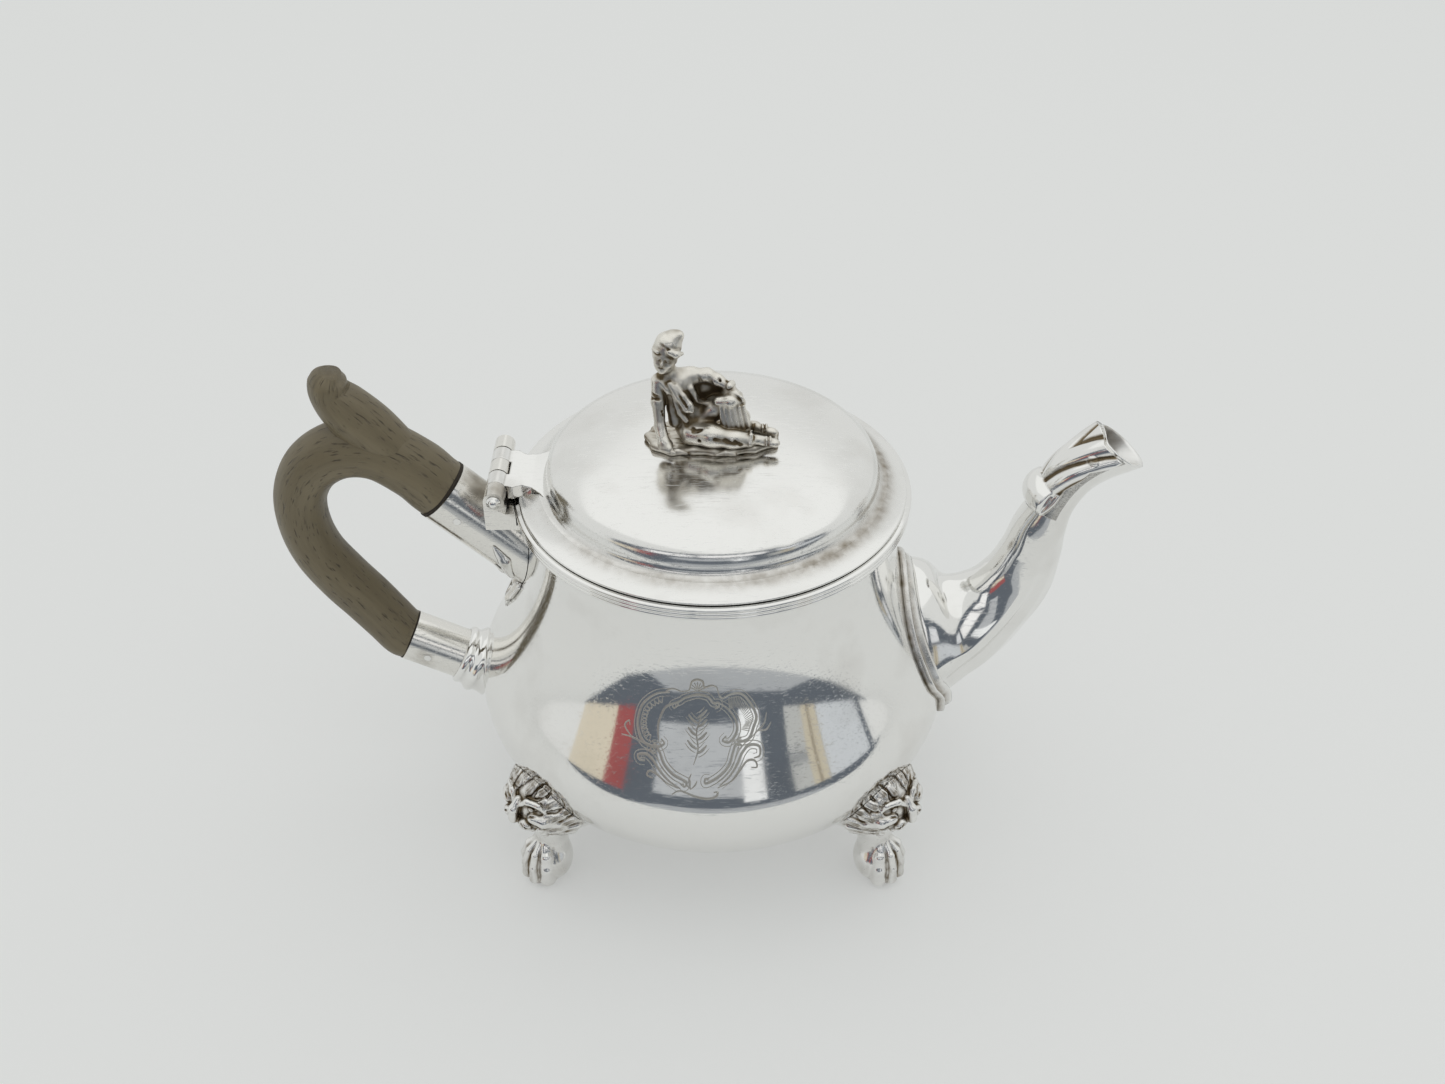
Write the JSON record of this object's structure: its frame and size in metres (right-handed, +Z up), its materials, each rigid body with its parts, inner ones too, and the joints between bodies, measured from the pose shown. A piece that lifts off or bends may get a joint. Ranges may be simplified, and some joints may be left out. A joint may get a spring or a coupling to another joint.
{
  "type": "teapot",
  "caption": "Footed pear-shaped silver teapot with a hinged domed lid, a seated figure finial, a keeled spout and a carved wood handle.",
  "frame": {"origin": "on the body's vertical axis, level with the undersides of the four paws", "axes": "+Z up; +X towards the spout; -X towards the handle; the figure faces -Y"},
  "size_m": [0.225, 0.1292, 0.1478],
  "materials": {
    "polished_silver": "polished sheet silver with fine scratches and a little tarnish",
    "cast_silver": "cast silver, bright on the high places and brown in the recesses",
    "fruitwood": "dry, greyed open-pored fruitwood"
  },
  "bodies": {
    "pot": {"body_shell": "polished_silver", "rim_moulding": "polished_silver", "spout": "polished_silver", "spout_base_plate": "polished_silver", "spout_leaf_cap": "cast_silver", "upper_socket": "polished_silver", "acanthus_drop": "cast_silver", "lower_socket": "polished_silver", "lower_collar": "polished_silver", "wood_handle": "fruitwood", "upper_handle_pin": "polished_silver", "lower_handle_pin": "polished_silver", "body_hinge_plate": "polished_silver", "hinge_pin": "polished_silver", "front_left_mask": "cast_silver", "front_left_paw": "cast_silver", "front_right_mask": "cast_silver", "front_right_paw": "cast_silver", "rear_left_mask": "cast_silver", "rear_left_paw": "cast_silver", "rear_right_mask": "cast_silver", "rear_right_paw": "cast_silver"},
    "lid": {"lid_hinge_leaf": "polished_silver", "lid_flange": "polished_silver", "lid_dome": "polished_silver", "lid_bezel": "polished_silver", "finial_plate": "cast_silver", "finial_figure": "cast_silver", "finial_stud": "polished_silver", "finial_nut": "polished_silver"}
  },
  "joints": [
    {"name": "lid_hinge", "type": "hinge", "parent": "pot", "child": "lid", "pos_m": [-0.0548, 0, 0.1056], "axis": [0, -1, 0], "range_deg": [0, 95]}
  ]
}
